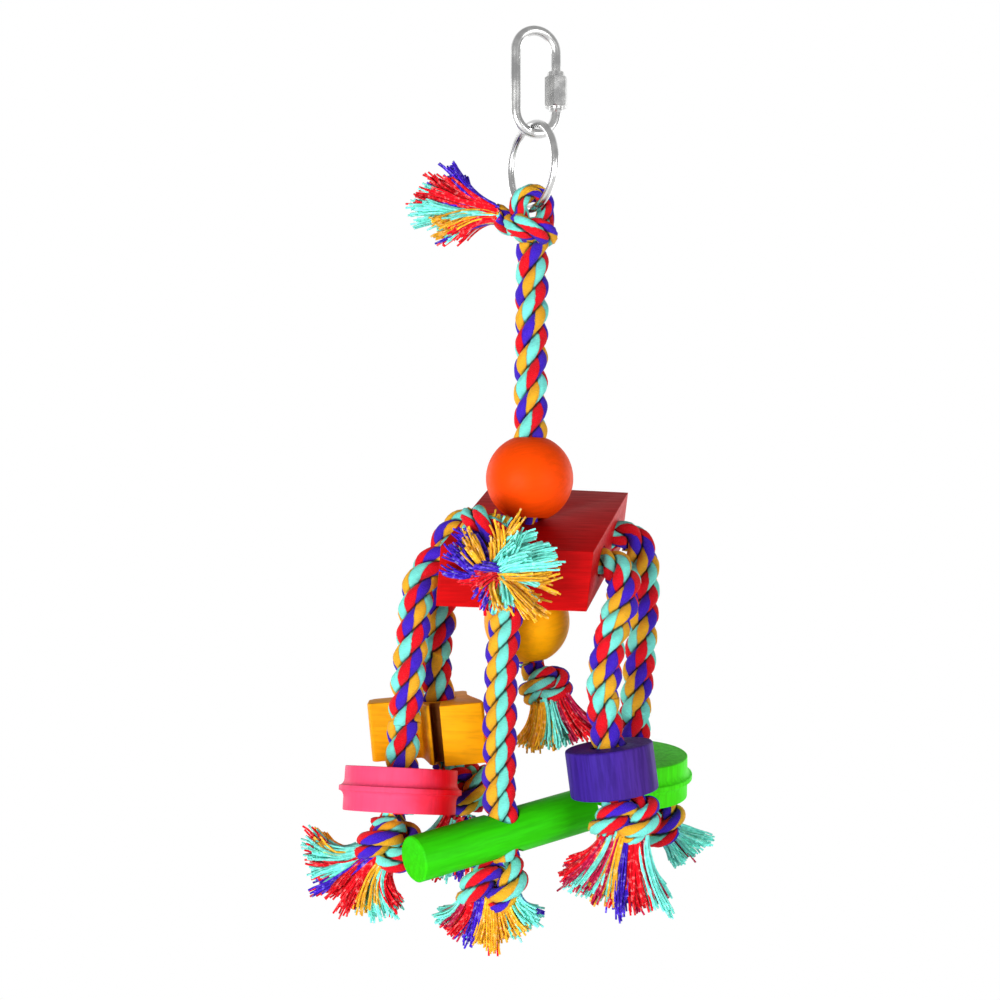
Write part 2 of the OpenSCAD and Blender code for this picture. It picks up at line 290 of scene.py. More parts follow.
class Finish:
    """A material under construction, with one Principled shader."""

    def __init__(self, name, **sockets):
        self.material = bpy.data.materials.new(name)
        self.material.use_nodes = True
        self.tree = self.material.node_tree
        self.tree.nodes.clear()
        self.out = self.tree.nodes.new("ShaderNodeOutputMaterial")
        self.shader = self.tree.nodes.new("ShaderNodeBsdfPrincipled")
        self.tree.links.new(self.shader.outputs[0], self.out.inputs[0])
        self.feed({k.replace("_", " "): v for k, v in sockets.items()})

    def put(self, socket, value):
        if isinstance(value, Wire):
            self.tree.links.new(value.socket, socket)
        elif value is not None:
            socket.default_value = value

    def feed(self, sockets):
        """Sets or links the shader's own sockets by name."""
        for name, value in sockets.items():
            if name != "Alpha" and isinstance(value, tuple) and len(value) == 3:
                value = (*value, 1)
            self.put(self.shader.inputs[name], value)

    def node(self, kind, settings=None, sockets=None, out=0):
        """Any node: its type, its settings, and the values or links of its sockets."""
        made = self.tree.nodes.new(kind)
        for name, value in (settings or {}).items():
            if name == "stops":
                ramp = made.color_ramp
                while len(ramp.elements) < len(value):
                    ramp.elements.new(0.5)
                for stop, (at, colour) in zip(ramp.elements, value):
                    stop.position = at
                for stop, (at, colour) in zip(ramp.elements, value):
                    stop.color = (*colour, 1)
            elif name == "blend":
                made.color_ramp.interpolation = value
            else:
                setattr(made, name, value)
        for key, value in (sockets or {}).items():
            self.put(made.inputs[key], value)
        return Wire(self, made.outputs[out])

    def place(self, scale=(1, 1, 1), turn=(0, 0, 0), at=(0, 0, 0)):
        """Object coordinates, moved, turned and scaled for a pattern."""
        raw = self.node("ShaderNodeTexCoord", out="Object")
        return self.node("ShaderNodeMapping", {"vector_type": "TEXTURE"},
                         {"Vector": raw, "Location": at, "Rotation": turn, "Scale": scale})

    def noise(self, where, scale, detail=3.0, roughness=0.55, distortion=0.0):
        return self.node("ShaderNodeTexNoise", {}, {"Vector": where, "Scale": scale, "Detail": detail,
                                                    "Roughness": roughness, "Distortion": distortion})

    def mix(self, share, a, b, how="MIX"):
        """Two colours mixed."""
        a, b = [(*c, 1) if isinstance(c, tuple) and len(c) == 3 else c for c in (a, b)]
        return self.node("ShaderNodeMix", {"data_type": "RGBA", "blend_type": how, "clamp_factor": True},
                         {0: share, 6: a, 7: b}, out=2)

    def bump(self, height, strength, distance):
        return self.node("ShaderNodeBump", {},
                         {"Height": height, "Strength": strength, "Distance": distance})


def tinted(colour, by):
    """A colour made lighter (by above 1) or darker."""
    return tuple(min(1.0, c * by) for c in colour)


def yarn_dyes():
    look = bpy.context.scene.toy_rope
    return [tuple(look.violet), tuple(look.gold), tuple(look.aqua), tuple(look.red)]


def rope_finish():
    """Cotton rope: four dyes side by side in each strand, fine yarn ridges, fluff, and painted shade in its furrows
    and creases.
    """
    f = Finish("laid cotton", Roughness=0.9, Sheen_Weight=0.06, Sheen_Roughness=0.5)
    f.shader.inputs["Specular IOR Level"].default_value = 0.12
    raw = f.node("ShaderNodeUVMap", {"uv_map": "yarn"})
    where = f.node("ShaderNodeSeparateXYZ", {}, {0: raw})
    along = Wire(f, where.socket.node.outputs[1])
    wander = f.noise(f.place(), 700, 2)
    # across counts colour groups, so its whole part picks the dye
    across = where + (wander - 0.5) * 0.16
    pick = (across / 4).fraction()
    dyes = yarn_dyes()
    base = f.node("ShaderNodeValToRGB", {"blend": "CONSTANT", "stops": [
        (0.25 * i, dye) for i, dye in enumerate(dyes)]}, {0: pick})
    # where a strand's dyes meet in a crease, the colour is darkened as painted shade
    in_group = where.fraction()
    edge = in_group.least(1 - in_group)
    ridge_line = f.node("ShaderNodeCombineXYZ", {}, {0: where * 7 + along * 420, 1: along * 160})
    ridges = f.node("ShaderNodeTexNoise", {"noise_dimensions": "2D"},
                    {"Vector": ridge_line, "Scale": 1, "Detail": 3, "Roughness": 0.6})
    fibre_line = f.node("ShaderNodeCombineXYZ", {}, {0: where * 34 + along * 900, 1: along * 300})
    fibres = f.node("ShaderNodeTexNoise", {"noise_dimensions": "2D"},
                    {"Vector": fibre_line, "Scale": 1, "Detail": 2, "Roughness": 0.7})
    worn = f.noise(f.place(), 160, 2)
    # painted shade: the ridges darken their furrows; worn adds random wear tone
    shade = ridges.stepped(0.3, 0.7, 0.74, 1.08) * worn.stepped(0.25, 0.75, 0.88, 1.06)
    # painted shade: darker towards the rope's core between the strands, and at the creases between dyes
    core_shade = f.node("ShaderNodeAttribute", {"attribute_name": "height"}, out="Fac")
    shade = shade * edge.stepped(0.0, 0.1, 0.7, 1.0) * core_shade.stepped(0.04, 0.4, 0.16, 1.0)
    lit = f.mix(1.0, base, f.node("ShaderNodeCombineColor", {}, {0: shade, 1: shade, 2: shade}), "MULTIPLY")
    fluff = f.mix(fibres.stepped(0.58, 0.8, 0, 0.14), lit, (0.95, 0.93, 0.95))
    height = ridges * 0.7 + fibres * 0.3
    f.feed({"Base Color": fluff, "Normal": f.bump(height, 0.55, 0.00035)})
    return f.material


def fray_finish():
    """Loose cotton yarn, whose dye and shade are carried by the yarn itself."""
    f = Finish("loose cotton yarn", Roughness=0.92, Sheen_Weight=0.1, Sheen_Roughness=0.5)
    f.shader.inputs["Specular IOR Level"].default_value = 0.1
    dye = f.node("ShaderNodeAttribute", {"attribute_name": "dye"}, out="Fac")
    shade = f.node("ShaderNodeAttribute", {"attribute_name": "shade"}, out="Fac")
    dyes = yarn_dyes()
    # painted shade: a darkened red for loose red yarn lying in shade
    shaded_red = tuple(0.55 * c for c in (1.0, 0.012, 0.12))
    base = f.node("ShaderNodeValToRGB", {"blend": "CONSTANT", "stops": [
        (0.2 * i, c) for i, c in enumerate(dyes + [shaded_red])]}, {0: dye})
    mottle = f.noise(f.place(), 900, 2)
    tone = shade * mottle.stepped(0.3, 0.7, 0.8, 1.12)
    lit = f.mix(1.0, base, f.node("ShaderNodeCombineColor", {}, {0: tone, 1: tone, 2: tone}), "MULTIPLY")
    pale = f.mix(mottle.stepped(0.52, 0.78, 0, 0.34), lit, (0.93, 0.9, 0.85))
    f.feed({"Base Color": pale, "Normal": f.bump(f.noise(f.place(), 3500, 2), 0.5, 0.0001)})
    return f.material


def wood_finish(name, dye, grain_turn=(0, 0, 0), spread=0.1, rough=0.5, other=None, span=(0, 1), groove=None):
    """Dyed hardwood: long fine grain, faint blotches where the dye soaked in, and open pores.

    A second dye can take over from left to right between two distances in millimetres, and shade is painted
    dark inside a groove with its place, its turn and its bounds in width and depth.
    """
    f = Finish(name)
    f.shader.inputs["Specular IOR Level"].default_value = 0.06
    streaks = f.noise(f.place(scale=(1, 1, 12), turn=grain_turn), 900, 3, 0.6, 0.4)
    fine = f.noise(f.place(scale=(1, 1, 22), turn=grain_turn), 3600, 2, 0.6)
    blotch = f.noise(f.place(turn=grain_turn), 140, 3, 0.6)
    pores = fine.stepped(0.6, 0.74)

    def stained(colour):
        low, high, pore = tinted(colour, 1 - 1.7 * spread), tinted(colour, 1 + 0.7 * spread), tinted(colour, 0.55)
        base = f.mix(streaks.stepped(0.33, 0.66), low, high)
        base = f.mix(blotch.stepped(0.35, 0.7, 0, 0.55), base, colour)
        return f.mix(pores * (0.1 + spread), base, pore)

    base = stained(dye)
    if other:
        split = f.node("ShaderNodeSeparateXYZ", {}, {0: f.node("ShaderNodeTexCoord", out="Object")})
        base = f.mix((split + (blotch - 0.5) * 0.006).stepped(span[0] * MM, span[1] * MM), base, stained(other))
    if groove:
        at, tip, (left, right), (front, back) = groove
        own = f.node("ShaderNodeSeparateXYZ", {}, {0: f.place(
            scale=(MM, MM, MM), turn=[math.radians(a) for a in tip], at=[c * MM for c in at])})
        deep = Wire(f, own.socket.node.outputs[1])
        # painted shade: the inside of the groove is darkened almost to black, as the shadow in the recess
        painted_groove_shade = own.stepped(left - 0.4, left) * (1 - own.stepped(right, right + 0.3))
        painted_groove_shade = painted_groove_shade * deep.stepped(front, front + 0.8) * (1 - deep.stepped(back, back + 0.6))
        base = f.mix(painted_groove_shade * 0.93, base, (0.1, 0.008, 0.004))
    f.feed({
        "Base Color": base,
        "Roughness": streaks.stepped(0.3, 0.7, rough + 0.05, rough - 0.04) + pores * 0.1,
        "Normal": f.bump(streaks * 0.4 + fine * 0.6, 0.12, 0.00015),
    })
    return f.material


def metal_finish():
    """Nickel plating with faint polishing lines and dull spots."""
    f = Finish("nickel plating", Metallic=1.0)
    smudge = f.noise(f.place(), 190, 3)
    lines = f.noise(f.place(scale=(1, 1, 0.06)), 2600, 2)
    base = f.mix(smudge.stepped(0.3, 0.7), (0.56, 0.56, 0.56), (0.72, 0.72, 0.71))
    rough = bpy.context.scene.toy_metal.roughness
    f.feed({"Base Color": base, "Roughness": smudge.stepped(0.3, 0.75, rough - 0.06, rough + 0.12),
            "Normal": f.bump(lines, 0.08, 0.0001)})
    return f.material


GROUPS = 4


def mesh_piece(name, verts, faces, material, uv, marks):
    """A finished piece at the origin, from points in millimetres."""
    mesh = bpy.data.meshes.new(name)
    mesh.from_pydata((np.asarray(verts) * MM).tolist(), [], faces)
    mesh.materials.append(material)
    mesh.polygons.foreach_set("use_smooth", [True] * len(mesh.polygons))
    layer = mesh.uv_layers.new(name="yarn")
    layer.data.foreach_set("uv", np.asarray(uv, np.float32).ravel())
    for key, values in marks.items():
        mark = mesh.attributes.new(key, "FLOAT", "POINT")
        mark.data.foreach_set("value", np.asarray(values, np.float32))
    mesh.update()
    piece = bpy.data.objects.new(name, mesh)
    bpy.context.scene.collection.objects.link(piece)
    return piece


def laid_strands(line, phase, first_dye, per_group=5, order=1, shifts=(0, 2, 1), twist=2.04):
    """Points, faces and yarn coordinates of a laid rope along a line whose rows hold x, y, z and radius.

    Each strand carries its colour groups twisted the other way, so that on the outside of the rope
    they run almost along it. The groups follow one order, and each strand starts it at a place of its own.
    """
    look = bpy.context.scene.toy_rope
    lay = look.lay / MM
    strands = look.strands
    along = lengths_along(line)
    ahead, side, third = carried_frames(line)
    around = GROUPS * per_group
    wobble = np.random.RandomState(int(1000 * abs(phase)) + 7)
    verts, faces, uv, depth = [], [], [], []
    rings = len(line)
    for s in range(strands):
        base = len(verts) * rings * around
        angle = 2 * math.pi * along / lay + phase + 2 * math.pi * s / strands
        radius = line[:, 3]
        spread, fat = 0.53 * radius, 0.475 * radius
        out = np.cos(angle)[:, None] * side + np.sin(angle)[:, None] * third
        round_ = -np.sin(angle)[:, None] * side + np.cos(angle)[:, None] * third
        centre = line[:, :3] + spread[:, None] * out
        # the groups swell and shrink a little along the strand
        swell = 1 + 0.035 * np.sin(along / (2.1 + wobble.rand()) + wobble.rand() * 6)
        sizes = 1 + 0.05 * (wobble.rand(GROUPS) - 0.5)
        ring = np.zeros((rings, around, 3))
        for k in range(around):
            group, part = divmod(k, per_group)
            crease = 0.5 - abs(part / per_group - 0.5)
            lobe = sizes[group] * (0.9 + 0.135 * math.sin(math.pi * min(1.0, crease * 2 * 0.98)) ** 0.6)
            phi = 2 * math.pi * k / around - twist * angle - first_dye * math.pi / 2
            reach = fat * lobe * swell
            ring[:, k] = (centre + (reach * np.cos(phi))[:, None] * out
                          + (1.14 * reach * np.sin(phi))[:, None] * round_)
        verts.append(ring.reshape(-1, 3))
        # how far each point lies out from the rope's middle, by which the finish paints shade darker towards the core
        off_axis = np.linalg.norm(ring - line[:, None, :3], axis=2) / radius[:, None]
        depth.append(np.clip((off_axis - 0.55) / 0.45, 0, 1).ravel())
        for i in range(rings - 1):
            for k in range(around):
                n = (k + 1) % around
                a, b = base + i * around + k, base + i * around + n
                faces.append((a, b, b + around, a + around))
                u0, u1 = order * k / per_group + shifts[s], order * (k + 1) / per_group + shifts[s]
                v0, v1 = along[i] / lay, along[i + 1] / lay
                uv += [(u0, v0), (u1, v0), (u1, v1), (u0, v1)]
        for i, side_of_cap in ((0, 1), (rings - 1, -1)):
            cap = [base + i * around + k for k in range(around)][::-side_of_cap]
            faces.append(cap)
            uv += [(k / per_group, along[i] / lay) for k in range(around)][::-side_of_cap]
    return np.concatenate(verts), faces, uv, np.concatenate(depth)


def rope_piece(name, line, material, **laid):
    verts, faces, uv, depth = laid_strands(line, **laid)
    return mesh_piece(name, verts, faces, material, uv, {"height": depth})


# the routes repeat the points of the solids, in millimetres
def with_radius(points, r):
    return [(*p, r) for p in points]


def leg_line(v, side, way, piece, h):
    """A leg's route: out of the block's side, down, and through its wooden piece."""
    r = bpy.context.scene.toy_rope.radius / MM
    start = in_block(0, v, 0)
    mouth = in_block(side * 20, v, 0)
    rows = (with_radius([start, (start + mouth) / 2, mouth], 4.2) + with_radius(way, r)
            + with_radius([above(piece, h / 2 + 12), above(piece, 0)], r)
            + with_radius([above(piece, -h / 2 - 0.5)], 4.2))
    return softened(even_line(smooth_line(rows, 12), 0.75), 3)


def main_line():
    r = bpy.context.scene.toy_rope.radius / MM
    rows = with_radius([(-0.9, 0, -60), (-1, -0.2, -64), (-1.3, -1.3, -85), (-1.6, -2.4, -106),
                        (-1.9, -3.3, -124)], r)
    rows += [(-1.9, -3.6, -131, 3.8), (-2, -3.2, -136, 3.2), (-2.4, -2.2, -139.5, 2.8)]
    rows += with_radius([in_block(-4.2, 0.4, 1), in_block(-4.2, 0.4, -6), (-4, 7.3, -157), YELLOW_AT,
                         YELLOW_AT - (-0.9, 0, 12)], 4.2)
    return softened(even_line(smooth_line(rows, 12), 0.75), 3)


def front_line():
    r = bpy.context.scene.toy_rope.radius / MM
    rows = with_radius([in_block(-4, -18, 10), in_block(-4, -18, 0), in_block(-4, -18, -9)], 4.2)
    rows += with_radius([(-8.5, -10.3, -165), (-9.4, -11, -173), (-10, -12.2, -183), (-10.3, -13.6, -194),
                         (-10.4, -14.4, -204), above(DOWEL, 11), above(DOWEL, 0)], r)
    rows += with_radius([above(DOWEL, -7)], 4.2)
    return softened(even_line(smooth_line(rows, 12), 0.75), 3)


ROUTES = {
    "left_front_rope": lambda: leg_line(-8.8, -1, [(-26, -8, -149), (-30.5, -9.2, -152.2), (-33.3, -9.8, -158.5),
        (-34.3, -10.4, -168), (-35.7, -10.5, -180), above(PINK, 19)], PINK, 12.2),
    "left_back_rope": lambda: leg_line(9.8, -1, [(-21, 11.5, -140), (-24.6, 11.5, -142.5), (-26.8, 10.5, -149),
        (-27, 8.5, -158), (-28, 5.4, -171), above(NOTCHED, 21)], NOTCHED, 17),
    "right_front_rope": lambda: leg_line(-8.8, 1, [(22, -3.5, -151.2), (24.5, -6.5, -155), (24, -9, -161),
        (21.5, -11, -168), (19.5, -12.5, -176), above(PURPLE, 20)], PURPLE, 13.3),
    "right_back_rope": lambda: leg_line(9.8, 1, [(27.5, 17, -143.2), (31.2, 17, -147), (32.3, 17, -154),
        (32, 16.5, -165), (31, 15, -180), above(GREEN, 19)], GREEN, 12.2),
    "front_rope": front_line,
    "main_rope": main_line,
}
# where each rope leaves what holds it, how its strands are turned, which dye leads, in which order the
# dyes follow, and where each strand starts that order
EXITS = {
    "left_front_rope": (lambda: in_block(-21, -8.8, 0), 0.4, 0.3, -1, (0, 2, 1)),
    "left_back_rope": (lambda: in_block(-21, 9.8, 0), 1.3, 2.2, -1, (0, 2, 1)),
    "right_front_rope": (lambda: in_block(21, -8.8, 0), 0.9, 1.4, 1, (0, 2, 1)),
    "right_back_rope": (lambda: in_block(21, 9.8, 0), 0.2, 2.9, 1, (0, 2, 1)),
    "front_rope": (lambda: in_block(-4, -18, -9), 1.1, -0.75, -1, (0, 0, 0)),
    "main_rope": (lambda: np.array((-0.9, 0, -60)), 0.6, 1.9, -1, (0, 2, 1), 1.86),
}


class TOY_OT_ropes(bpy.types.Operator):
    bl_idname = "toy.ropes"
    bl_label = "Ropes"

    def execute(self, context):
        cotton = bpy.data.materials.get("laid cotton") or rope_finish()
        for name, route in ROUTES.items():
            line = route()
            leaves, phase, dye, order, shifts, *twist = EXITS[name]
            piece = rope_piece(name + "_laid", line, cotton, phase=phase, first_dye=dye, order=order,
                               shifts=shifts, twist=twist[0] if twist else 2.04)
            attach(piece, "rope")
            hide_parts(name)
            tuple(leaves() * MM)
            (line[:, :3] * MM).tolist()
        return {"FINISHED"}


# every knot: middle, turn, where the rope enters, its size, and how flat it is pulled
KNOTS = {
    "left_front_knot": ((-41.5, -12.5, -228.3), (0, 12, 20), lambda: above(PINK, -7), 1, 1),
    "left_back_knot": ((-20, 7.5, -216.5), (0, -10, -30), lambda: above(NOTCHED, -9.5), 1, 1),
    "right_front_knot": ((24.3, -13, -221), (0, -10, 0), lambda: above(PURPLE, -7.5), 1.04, 0.8),
    "right_back_knot": ((34.5, 17, -228.2), (0, -12, 0), lambda: above(GREEN, -7), 1, 1),
    "dowel_knot": ((-12.5, -13, -239), (0, -17, 0), lambda: above(DOWEL, -7.5), 1.06, 0.95),
    "front_top_knot": ((-13.5, -22.3, -143), (20, 70, 0), lambda: in_block(-4, -18, 10), 1, 1),
    "main_knot": ((2.5, 7, -186.5), (0, 0, 20), lambda: YELLOW_AT - (-0.9, 0, 12), 0.76, 1),
}
# every frayed end, as the front sees it: the middle and the end of the row from which its locks spring,
# the angles of its first and last lock (0 points right, 90 up), the lengths of its locks from the first
# to the last, how far it opens towards and away from the front, and the dyes of its locks
FRAYS = {
    "left_front_knot": ((-49.5, -15, -228), (-40, -16, -233), (130, 312), (16, 17, 14.5), 0.5,
                        "gaaaaraaavrrrrraggaaara"),
    "left_back_knot": ((-26, 6, -224), (-18, 6, -225), (215, 285), (15, 18, 14), 0.5, "rrcarrvra"),
    "right_front_knot": ((17.5, -16, -225.5), (30, -16, -224.5), (205, 306), (15, 19.5, 21), 0.42,
                         "rccagcaacgagvvvrrrrraca"),
    "right_back_knot": ((36, 14, -230.5), (41, 14, -228.5), (-68, -8), (10, 10.5, 12), 0.5, "aaacaaaaa"),
    "dowel_knot": ((-21, -16, -242), (-5, -16, -242), (190, 348), (9.5, 13.2, 8.5), 0.5,
                   "aarcrcvvvgggrgggagggagaa"),
    "front_top_knot": ((-14.5, -24, -153.5), (-8.5, -25, -152.5), (163, -201), (14, 18, 18, 10, 13), 0.6,
                       "vvvggggaaaaaagggggavrarvrrvv"),
    "main_knot": ((-1, 3, -192), (9, 3, -189), (232, 332), (13, 12.5, 13), 0.5, "gggggagaaacrcrc"),
    "ring_knot": ((-12, 0.5, -49), (-11, 0, -53), (119, 219), (15, 24, 14), 0.4, "vvvrrrarravaagggrr"),
}
LETTER = {"v": VIOLET, "g": GOLD, "a": AQUA, "r": RED, "c": SHADED_RED}
KNOT_RING, KNOT_TUBE, KNOT_ROPE = 3.4, 3.5, 3.9


def overhand_line(at, tip, k, flat):
    """An overhand knot drawn tight: two coils woven round each other, as rows of x, y, z and radius."""
    rows = []
    for degrees in np.linspace(150, 750, 90):
        t = math.radians(degrees)
        weave = math.radians(90 + 1.5 * (degrees - 150))
        out = KNOT_RING + KNOT_TUBE * math.cos(weave)
        p = turned((k * out * math.cos(t), k * out * math.sin(t), flat * k * KNOT_TUBE * math.sin(weave)), tip)
        rows.append((*(p + np.array(at)), KNOT_ROPE * math.sqrt(k)))
    return even_line(np.array(rows), 0.7)


def entry_line(at, tip, k, entry):
    """The stretch of rope from the wood down into the middle of the knot."""
    entry, at = np.array(entry), np.array(at)
    start = at + turned((-2.9 * k, 1.7 * k, 3.5 * k), tip)
    rows = [(*entry, 4), (*(entry * 0.4 + start * 0.6), 3.8), (*start, 3.7)]
    return even_line(smooth_line(rows, 8), 0.8)


def joined(parts):
    """Several sets of points, faces, yarn coordinates and heights, which set the painted shade, as one."""
    verts, faces, uv, depth, base = [], [], [], [], 0
    for v, f, u, d in parts:
        verts.append(v)
        faces += [[base + i for i in face] for face in f]
        uv += u
        depth.append(d)
        base += len(v)
    return np.concatenate(verts), faces, uv, np.concatenate(depth)


def ring_knot_lines():
    """The rope's loop over the ring, its two wraps round its own neck, and its tail."""
    low = np.array((-1, 0, -49.48))
    e = np.array((math.cos(math.radians(30)), math.sin(math.radians(30)), 0))
    arch = [low + 4.6 * (math.cos(math.radians(a)) * e + np.array((0, 0, math.sin(math.radians(a)))))
            for a in range(-20, 206, 25)]
    loop = [(-0.9, 0, -60.2, 4), (0.8, 1, -56.5, 4)] + with_radius(arch, 2.8) + [(*(low - 5 * e - (0, 0, 6)), 3.4)]
    wrap = with_radius([(-6.5, -1, -54), (-4, -5.4, -55.5), (1, -4.4, -56.6), (3, 0.6, -56.8), (0.5, 5.2, -56)], 3.5)
    tail = with_radius([(1, 5, -56), (-4, 5.5, -54.8), (-8, 3, -53), (-12, 0.5, -51)], 3.5)
    return [softened(even_line(smooth_line(rows, 8), 0.7), 2) for rows in (loop, wrap, tail)]


def fray_guides(name, seed):
    """One guide line for each lock of loose yarn, as a mesh of edges that carries the dyes."""
    first, last, angles, lengths, deep, dyes = FRAYS[name]
    rng = np.random.RandomState(seed)
    first, last = np.array(first, float), np.array(last, float)
    middle = math.radians(sum(angles) / 2)
    whole = abs(angles[1] - angles[0]) > 300
    mean = np.array((0, -0.9, 0.2)) if whole else np.array((math.cos(middle), 0, math.sin(middle)))
    verts, edges, dye, count = [], [], [], 9
    for layer, back in enumerate((-0.9, -0.15, 0.6)):
        for i, letter in enumerate(dyes):
            if layer and rng.rand() < 0.2:
                letter = dyes[rng.randint(len(dyes))]
            f = (i + 0.5 + 0.3 * rng.randn()) / len(dyes)
            angle = math.radians(angles[0] + (angles[1] - angles[0]) * f) + (0.2 * rng.randn() if whole else 0)
            reach = np.interp(f, np.linspace(0, 1, len(lengths)), lengths)
            reach *= 1 + (0.15 if whole else 0.1) * rng.randn()
            aim = np.array((math.cos(angle), deep * (back + 0.25 * rng.randn()), math.sin(angle)))
            aim /= np.linalg.norm(aim)
            sideways = np.cross(aim, (0, 1, 0))
            curl = (0.6 if whole else 0.26) * rng.randn()
            p = first + (last - first) * f + np.array((0, 1.4 * back, 0)) + 0.35 * rng.randn(3)
            base = len(verts)
            for k in range(count):
                t = k / (count - 1)
                verts.append(p.copy())
                dye.append(0.2 * LETTER[letter] + 0.1)
                if k:
                    edges.append((base + k - 1, base + k))
                turn = min(1.0, 0.3 + 1.1 * t)
                go = mean * (1 - turn) + aim * turn + sideways * (curl * (t - 0.3)) + np.array((0, 0, -0.12 * t))
                p += go / np.linalg.norm(go) * reach / (count - 1)
    mesh = bpy.data.meshes.new(name + "_guides")
    mesh.from_pydata((np.array(verts) * MM).tolist(), edges, [])
    mark = mesh.attributes.new("dye", "FLOAT", "POINT")
    mark.data.foreach_set("value", np.array(dye, np.float32))
    return mesh


def frayed_tree():
    """The node tree that turns each guide line into a lock of loose yarns."""
    tree = bpy.data.node_groups.get("Frayed locks")
    if tree:
        return tree
    tree = bpy.data.node_groups.new("Frayed locks", "GeometryNodeTree")
    face = tree.interface
    face.new_socket("Guides", in_out="INPUT", socket_type="NodeSocketGeometry")
    for label, kind, value in (
            ("Yarn radius", "NodeSocketFloat", 0.26 * MM), ("Yarns in a lock", "NodeSocketInt", 9),
            ("Root spread", "NodeSocketFloat", 0.7 * MM), ("Tip spread", "NodeSocketFloat", 1.9 * MM),
            ("Wander", "NodeSocketFloat", 2.4 * MM), ("Seed", "NodeSocketInt", 1)):
        face.new_socket(label, in_out="INPUT", socket_type=kind).default_value = value
    face.new_socket("Finish", in_out="INPUT", socket_type="NodeSocketMaterial")
    face.new_socket("Yarns", in_out="OUTPUT", socket_type="NodeSocketGeometry")

    def node(kind, settings=None, sockets=None):
        made = tree.nodes.new(kind)
        for key, value in (settings or {}).items():
            setattr(made, key, value)
        for key, value in (sockets or {}).items():
            if isinstance(value, bpy.types.NodeSocket):
                tree.links.new(value, made.inputs[key])
            else:
                made.inputs[key].default_value = value
        return made

    given = node("NodeGroupInput").outputs
    lines = node("GeometryNodeMeshToCurve", {}, {0: given["Guides"]})
    lines = node("GeometryNodeResampleCurve", {}, {0: lines.outputs[0], "Count": 11})
    many = node("GeometryNodeDuplicateElements", {"domain": "SPLINE"},
                {"Geometry": lines.outputs[0], "Amount": given["Yarns in a lock"]})

    def one_for_each_yarn(field, kind):
        """A random field that is the same all along a yarn."""
        return node("GeometryNodeFieldOnDomain", {"domain": "CURVE", "data_type": kind}, {0: field}).outputs[0]

    def maths(operation, *values):
        """The result of one Math node."""
        return node("ShaderNodeMath", {"operation": operation}, dict(enumerate(values))).outputs[0]

    def vectors(operation, vector, other):
        """The result of one Vector Math node."""
        return node("ShaderNodeVectorMath", {"operation": operation},
                    {0: vector, "Scale" if operation == "SCALE" else 1: other}).outputs[0]

    scatter = node("FunctionNodeRandomValue", {"data_type": "FLOAT_VECTOR"},
                   {0: (-1, -1, -1), 1: (1, 1, 1), "Seed": given["Seed"]}).outputs[0]
    scatter = one_for_each_yarn(scatter, "FLOAT_VECTOR")
    tone = node("FunctionNodeRandomValue", {"data_type": "FLOAT"},
                {2: 0.7, 3: 1.3, "Seed": maths("ADD", given["Seed"], 31)}).outputs[1]
    tone = one_for_each_yarn(tone, "FLOAT")
    cut = node("FunctionNodeRandomValue", {"data_type": "FLOAT"},
               {2: 0.8, 3: 1.0, "Seed": maths("ADD", given["Seed"], 57)}).outputs[1]
    t = node("GeometryNodeSplineParameter").outputs["Factor"]
    eased = maths("POWER", t, 1.4)
    spread = maths("MULTIPLY_ADD", maths("SUBTRACT", given["Tip spread"], given["Root spread"]), eased,
                   given["Root spread"])
    place = vectors("ADD", node("GeometryNodeInputPosition").outputs[0], vectors("SCALE", scatter, 0.03))
    drift = node("ShaderNodeTexNoise", {}, {"Vector": place, "Scale": 130.0, "Detail": 1.5}).outputs["Color"]
    drift = vectors("SUBTRACT", drift, (0.5, 0.5, 0.5))
    drift = vectors("SCALE", drift, maths("MULTIPLY", given["Wander"], eased))
    offset = vectors("ADD", vectors("SCALE", scatter, spread), drift)
    moved = node("GeometryNodeSetPosition", {}, {"Geometry": many.outputs[0], "Offset": offset})
    marked = node("GeometryNodeStoreNamedAttribute", {"data_type": "FLOAT", "domain": "POINT"},
                  {"Geometry": moved.outputs[0], "Name": "shade", "Value": tone})
    cut_off = node("GeometryNodeTrimCurve", {"mode": "FACTOR"}, {"Curve": marked.outputs[0], 3: cut})
    thinned = node("GeometryNodeSetCurveRadius", {},
                   {"Curve": cut_off.outputs[0], "Radius": maths("MULTIPLY_ADD", t, -0.35, 1.0)})
    section = node("GeometryNodeCurvePrimitiveCircle", {"mode": "RADIUS"},
                   {"Resolution": 5, "Radius": given["Yarn radius"]})
    skin = node("GeometryNodeCurveToMesh", {}, {"Curve": thinned.outputs[0], "Profile Curve": section.outputs[0],
                                                "Fill Caps": True})
    real = node("GeometryNodeRealizeInstances", {}, {0: skin.outputs[0]})
    done = node("GeometryNodeSetMaterial", {}, {"Geometry": real.outputs[0], "Material": given["Finish"]})
    tree.links.new(done.outputs[0], node("NodeGroupOutput").inputs[0])
    return tree


def frayed_piece(name, seed, material):
    """One frayed end, grown by the node tree and kept as a plain mesh."""
    look = bpy.context.scene.toy_fray
    guide = bpy.data.objects.new(name + "_guide", fray_guides(name, seed))
    bpy.context.scene.collection.objects.link(guide)
    grow = guide.modifiers.new("Frayed locks", "NODES")
    grow.node_group = frayed_tree()
    wanted = {"Yarn radius": look.yarn_radius, "Yarns in a lock": look.yarns, "Seed": seed,
              "Tip spread": look.opening, "Finish": material}
    for item in grow.node_group.interface.items_tree:
        if item.item_type == "SOCKET" and item.in_out == "INPUT" and item.name in wanted:
            grow[item.identifier] = wanted[item.name]
    made = bpy.data.meshes.new_from_object(guide.evaluated_get(bpy.context.evaluated_depsgraph_get()))
    bpy.data.objects.remove(guide)
    made.name = name + "_fray"
    piece = bpy.data.objects.new(name + "_fray", made)
    bpy.context.scene.collection.objects.link(piece)
    made.polygons.foreach_set("use_smooth", [True] * len(made.polygons))
    return piece


